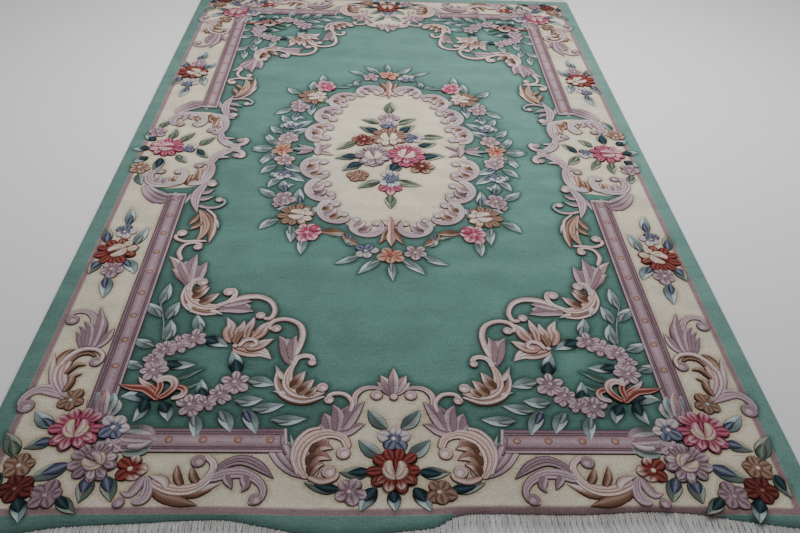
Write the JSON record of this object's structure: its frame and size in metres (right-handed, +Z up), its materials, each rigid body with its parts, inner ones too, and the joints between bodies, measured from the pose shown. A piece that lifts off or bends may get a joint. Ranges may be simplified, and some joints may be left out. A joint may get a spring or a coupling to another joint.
{
  "type": "carved aubusson rug",
  "caption": "Thick carved wool pile rug with a floral medallion design, lying flat, with a cotton fringe on each short end.",
  "frame": {"origin": "on the floor, under the middle of the carpet's nominal rectangle", "axes": "+Z up, +Y along the rug from the near end to the far end, +X across it to the right"},
  "size_m": [1.524, 2.5938, 0.0174],
  "materials": {
    "pile_wool": "cut wool pile, matt, carved along the motifs",
    "fringe_cotton": "twisted cotton yarn, matt"
  },
  "bodies": {
    "root": {"carpet": "pile_wool", "fringe_near": "fringe_cotton", "fringe_far": "fringe_cotton"}
  },
  "joints": []
}
